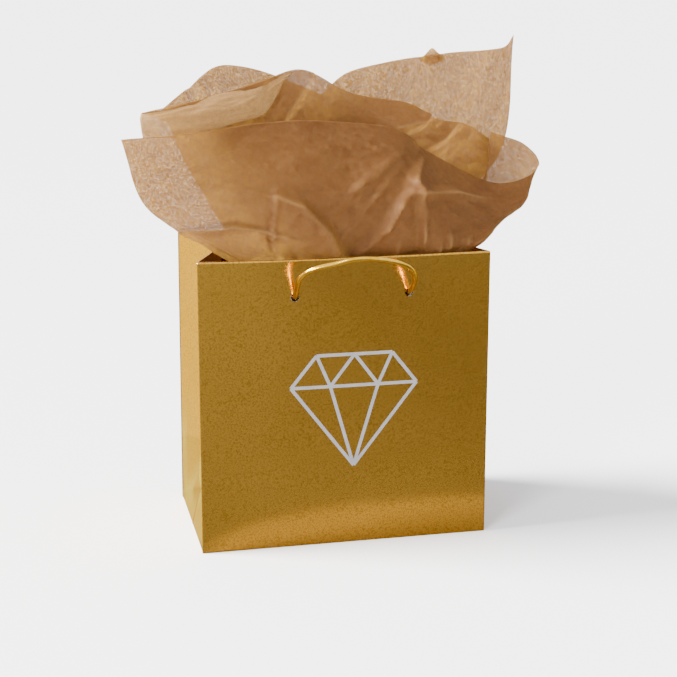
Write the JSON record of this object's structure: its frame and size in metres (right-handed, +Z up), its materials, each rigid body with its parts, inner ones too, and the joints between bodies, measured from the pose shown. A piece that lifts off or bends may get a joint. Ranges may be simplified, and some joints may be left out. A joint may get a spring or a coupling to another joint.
{
  "type": "gift bag",
  "caption": "Small gold foil gift bag with side gussets, rope handles front and back, and kraft tissue paper spreading from its mouth.",
  "frame": {"origin": "middle of the footprint, on the surface the bag stands on", "axes": "+Z up; -Y is the front panel with the printed ornament; X runs along the panel's width, gussets at -X and +X"},
  "size_m": [0.243, 0.1355, 0.277],
  "materials": {
    "foil_paper": "gold metallic foil laminate, near mirror with fine grain",
    "foil_inside": "uncoated gold-brown inside of the laminated paper",
    "grey_board": "uncoated grey board, matte",
    "rope": "smooth twisted metallic gold cord, glossy",
    "tissue_paper": "thin translucent kraft tissue, matte and crumpled",
    "ornament": "matte light grey print"
  },
  "bodies": {
    "root": {"bottom_back_flap": "foil_paper", "bottom_front_flap": "foil_paper", "bottom_left_flap": "foil_inside", "bottom_right_flap": "foil_inside", "bottom_board": "grey_board", "left_gusset_base": "foil_paper", "left_gusset_front_corner": "foil_paper", "left_gusset_back_corner": "foil_paper", "left_gusset_front": "foil_paper", "left_gusset_back": "foil_paper", "left_hem_front": "foil_paper", "left_hem_back": "foil_paper", "right_gusset_base": "foil_paper", "right_gusset_front_corner": "foil_paper", "right_gusset_back_corner": "foil_paper", "right_gusset_front": "foil_paper", "right_gusset_back": "foil_paper", "right_hem_front": "foil_paper", "right_hem_back": "foil_paper"},
    "front_wall": {"front_panel": "foil_paper", "front_card": "grey_board", "front_hem": "foil_paper", "front_left_knot": "rope", "front_right_knot": "rope"},
    "back_wall": {"back_panel": "foil_paper", "back_card": "grey_board", "back_hem": "foil_paper", "back_side_lap": "foil_inside", "back_left_knot": "rope", "back_right_knot": "rope"},
    "front_rope": {"front_handle": "rope"},
    "back_rope": {"back_handle": "rope"},
    "tissue": {"tissue_front": "tissue_paper", "tissue_middle": "tissue_paper", "tissue_left": "tissue_paper", "tissue_back": "tissue_paper"}
  },
  "joints": [
    {"name": "front_wall_tilt", "type": "hinge", "parent": "root", "child": "front_wall", "pos_m": [0, -0.04445, 0], "axis": [-1, 0, 0], "range_deg": [-1.5, 9], "stiffness_Nm_per_rad": 0.3, "deforming": ["left_gusset_base", "left_gusset_front_corner", "left_gusset_back_corner", "left_gusset_front", "left_gusset_back", "left_hem_front", "left_hem_back", "right_gusset_base", "right_gusset_front_corner", "right_gusset_back_corner", "right_gusset_front", "right_gusset_back", "right_hem_front", "right_hem_back", "tissue_front", "tissue_middle", "tissue_left", "tissue_back"]},
    {"name": "back_wall_tilt", "type": "hinge", "parent": "root", "child": "back_wall", "pos_m": [0, 0.04445, 0], "axis": [1, 0, 0], "range_deg": [-1.5, 9], "stiffness_Nm_per_rad": 0.3},
    {"name": "front_handle_swing", "type": "hinge", "parent": "front_wall", "child": "front_rope", "pos_m": [0.0025, -0.0392, 0.14412], "axis": [1, 0, 0], "range_deg": [-33, 110], "stiffness_Nm_per_rad": 0.004},
    {"name": "back_handle_swing", "type": "hinge", "parent": "back_wall", "child": "back_rope", "pos_m": [0.0025, 0.04675, 0.1442], "axis": [-1, 0, 0], "range_deg": [-33, 110], "stiffness_Nm_per_rad": 0.004},
    {"name": "tissue_lift", "type": "slide", "parent": "root", "child": "tissue", "axis": [0, 0, 1], "range_m": [0, 0.12]}
  ],
  "couplings": [
    {"joint": "back_wall_tilt", "follows": "front_wall_tilt", "ratio": 1}
  ]
}
